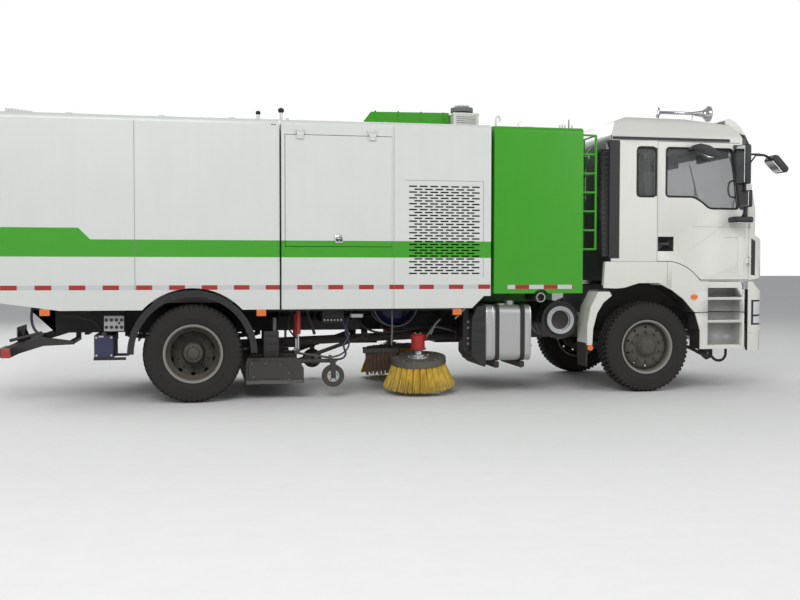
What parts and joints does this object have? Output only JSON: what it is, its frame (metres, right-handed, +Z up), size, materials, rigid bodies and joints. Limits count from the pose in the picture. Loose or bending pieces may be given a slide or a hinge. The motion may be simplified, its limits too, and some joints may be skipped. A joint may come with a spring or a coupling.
{
  "type": "street sweeper truck",
  "caption": "Two-axle street sweeper truck: tilting cab, water tank, engine housing, tipping dust box, disc brushes, suction nozzle, twin rear wheels, coupled steering and hoist.",
  "frame": {"origin": "on the ground under the middle of the overall box, in the truck's middle plane", "axes": "+X forward, +Y to the truck's left, +Z up"},
  "size_m": [9.19, 3.04, 3.3499],
  "materials": {
    "chassis_black": "satin",
    "axle_black": "satin",
    "cast": "rough",
    "body_white": "gloss",
    "cab_white": "gloss",
    "grass_green": "gloss",
    "tank_aluminium": "brushed",
    "silver": "satin",
    "blue_paint": "satin",
    "guard_black": "satin",
    "trim_black": "satin",
    "lamp_clear": "gloss",
    "grille_white": "satin",
    "tyre_black": "matte",
    "rim_grey": "satin",
    "rod_chrome": "polished",
    "red_paint": "gloss",
    "window_glass": "clear",
    "seat_grey": "matte",
    "wheel_black": "satin",
    "visor_white": "gloss",
    "brass_ring": "satin",
    "bristle": "rough",
    "nozzle_black": "satin",
    "caster_rubber": "matte",
    "mirror_black": "satin"
  },
  "bodies": {
    "chassis": {"frame": "chassis_black", "front_axle": "axle_black", "rear_axle": "axle_black", "drivetrain": "cast", "fuel_tank": "tank_aluminium", "silencer": "silver", "battery_case": "chassis_black", "hydraulic_unit": "blue_paint", "rear_mudguards": "guard_black", "front_mudguards": "cab_white", "underrun_guard": "chassis_black", "bumper": "cab_white", "lamps": "lamp_clear", "water_tank": "grass_green", "water_inlet": "brass_ring", "equipment_housing": "body_white", "air_grilles": "grille_white", "roof_duct": "grass_green", "air_cleaner": "visor_white", "lift_barrels": "red_paint"},
    "dust_box": {"dust_box": "body_white"},
    "rear_door": {"rear_door": "body_white"},
    "hoist_barrel": {"hoist_barrel": "red_paint"},
    "hoist_rod": {"hoist_rod": "rod_chrome"},
    "cab": {"cab_shell": "cab_white", "cab_glass": "window_glass", "cab_trim": "trim_black", "sun_visor": "visor_white", "horn": "rod_chrome", "cab_interior": "seat_grey", "cab_fenders": "cab_white"},
    "steering_wheel": {"steering_wheel": "wheel_black"},
    "door_right": {"door_right": "cab_white", "door_right_glass": "window_glass", "mirrors_right": "mirror_black"},
    "door_left": {"door_left": "cab_white", "door_left_glass": "window_glass", "mirrors_left": "mirror_black"},
    "service_door_right": {"service_door_right": "body_white"},
    "service_door_left": {"service_door_left": "body_white"},
    "knuckle_right": {"knuckle_right": "axle_black"},
    "knuckle_left": {"knuckle_left": "axle_black"},
    "front_wheel_right": {"front_tyre_right": "tyre_black", "front_wheel_right": "rim_grey"},
    "front_wheel_left": {"front_tyre_left": "tyre_black", "front_wheel_left": "rim_grey"},
    "rear_wheels_right": {"rear_tyres_right": "tyre_black", "rear_wheels_right": "rim_grey"},
    "rear_wheels_left": {"rear_tyres_left": "tyre_black", "rear_wheels_left": "rim_grey"},
    "brush_arm_right": {"brush_arm_right": "chassis_black"},
    "brush_arm_left": {"brush_arm_left": "chassis_black"},
    "side_brush_right": {"side_brush_right": "bristle"},
    "side_brush_left": {"side_brush_left": "bristle"},
    "nozzle": {"nozzle": "nozzle_black"},
    "nozzle_wheel_right": {"nozzle_wheel_right": "caster_rubber"},
    "nozzle_wheel_left": {"nozzle_wheel_left": "caster_rubber"},
    "lift_rods": {"lift_rods": "rod_chrome"}
  },
  "joints": [
    {"name": "cab_tilt", "type": "hinge", "parent": "chassis", "child": "cab", "pos_m": [4.185, 0, 1.15], "axis": [0, 1, 0], "range_deg": [0, 50]},
    {"name": "door_right_swing", "type": "hinge", "parent": "cab", "child": "door_right", "pos_m": [4.075, -1.266, 1.7], "axis": [0, 0, 1], "range_deg": [0, 70]},
    {"name": "door_left_swing", "type": "hinge", "parent": "cab", "child": "door_left", "pos_m": [4.075, 1.266, 1.7], "axis": [0, 0, -1], "range_deg": [0, 70]},
    {"name": "steering_wheel_turn", "type": "hinge", "parent": "cab", "child": "steering_wheel", "pos_m": [3.605, 0.64, 2.06], "axis": [0.5, 0, -0.866], "range_deg": [-630, 630]},
    {"name": "steer_left", "type": "hinge", "parent": "chassis", "child": "knuckle_left", "pos_m": [2.805, 0.9, 0.506], "axis": [0, 0, 1], "range_deg": [-35, 35]},
    {"name": "steer_right", "type": "hinge", "parent": "chassis", "child": "knuckle_right", "pos_m": [2.805, -0.9, 0.506], "axis": [0, 0, 1], "range_deg": [-35, 35]},
    {"name": "front_wheel_right_spin", "type": "hinge", "parent": "knuckle_right", "child": "front_wheel_right", "pos_m": [2.805, -1.065, 0.506], "axis": [0, 1, 0], "continuous": true},
    {"name": "front_wheel_left_spin", "type": "hinge", "parent": "knuckle_left", "child": "front_wheel_left", "pos_m": [2.805, 1.065, 0.506], "axis": [0, 1, 0], "continuous": true},
    {"name": "rear_wheels_right_spin", "type": "hinge", "parent": "chassis", "child": "rear_wheels_right", "pos_m": [-2.195, -0.925, 0.506], "axis": [0, 1, 0], "continuous": true},
    {"name": "rear_wheels_left_spin", "type": "hinge", "parent": "chassis", "child": "rear_wheels_left", "pos_m": [-2.195, 0.925, 0.506], "axis": [0, 1, 0], "continuous": true},
    {"name": "service_door_right_lift", "type": "hinge", "parent": "chassis", "child": "service_door_right", "pos_m": [-0.688, -1.266, 2.79], "axis": [-1, 0, 0], "range_deg": [0, 85]},
    {"name": "service_door_left_lift", "type": "hinge", "parent": "chassis", "child": "service_door_left", "pos_m": [-0.688, 1.266, 2.79], "axis": [1, 0, 0], "range_deg": [0, 85]},
    {"name": "box_tip", "type": "hinge", "parent": "chassis", "child": "dust_box", "pos_m": [-3.835, 0, 1.01], "axis": [0, -1, 0], "range_deg": [0, 45]},
    {"name": "rear_door_swing", "type": "hinge", "parent": "dust_box", "child": "rear_door", "pos_m": [-4.547, 0, 2.912], "axis": [0, 1, 0], "range_deg": [0, 75]},
    {"name": "hoist_swing", "type": "hinge", "parent": "chassis", "child": "hoist_barrel", "pos_m": [-3.195, 0, 0.905], "axis": [0, -1, 0], "range_deg": [0, 56.7]},
    {"name": "hoist_stroke", "type": "slide", "parent": "hoist_barrel", "child": "hoist_rod", "axis": [0.9948, 0, 0.1017], "range_m": [0, 0.3099]},
    {"name": "nozzle_lower", "type": "hinge", "parent": "chassis", "child": "nozzle", "pos_m": [-0.295, 0, 0.62], "axis": [0, -1, 0], "range_deg": [0, 6]},
    {"name": "nozzle_lift_stroke", "type": "slide", "parent": "chassis", "child": "lift_rods", "axis": [0, 0, -1], "range_m": [0, 0.084]},
    {"name": "nozzle_wheel_right_spin", "type": "hinge", "parent": "nozzle", "child": "nozzle_wheel_right", "pos_m": [-0.73, -1.05, 0.239], "axis": [0, 1, 0], "continuous": true},
    {"name": "nozzle_wheel_left_spin", "type": "hinge", "parent": "nozzle", "child": "nozzle_wheel_left", "pos_m": [-0.73, 1.05, 0.239], "axis": [0, 1, 0], "continuous": true},
    {"name": "brush_arm_right_swing", "type": "hinge", "parent": "chassis", "child": "brush_arm_right", "pos_m": [0.755, -0.52, 0.62], "axis": [0, 0, 1], "range_deg": [0, 24]},
    {"name": "side_brush_right_spin", "type": "hinge", "parent": "brush_arm_right", "child": "side_brush_right", "pos_m": [0.245, -0.86, 0.395], "axis": [-0.0519, -0.1208, 0.9913], "continuous": true},
    {"name": "brush_arm_left_swing", "type": "hinge", "parent": "chassis", "child": "brush_arm_left", "pos_m": [0.755, 0.52, 0.62], "axis": [0, 0, -1], "range_deg": [0, 24]},
    {"name": "side_brush_left_spin", "type": "hinge", "parent": "brush_arm_left", "child": "side_brush_left", "pos_m": [0.245, 0.86, 0.395], "axis": [-0.0519, 0.1208, 0.9913], "continuous": true}
  ],
  "couplings": [
    {"joint": "steer_right", "follows": "steer_left", "ratio": 1},
    {"joint": "steering_wheel_turn", "follows": "steer_left", "ratio": -18},
    {"joint": "hoist_swing", "follows": "box_tip", "ratio": 1.26},
    {"joint": "hoist_stroke", "follows": "box_tip", "m_per_rad": 0.394},
    {"joint": "nozzle_lift_stroke", "follows": "nozzle_lower", "m_per_rad": 0.8}
  ]
}
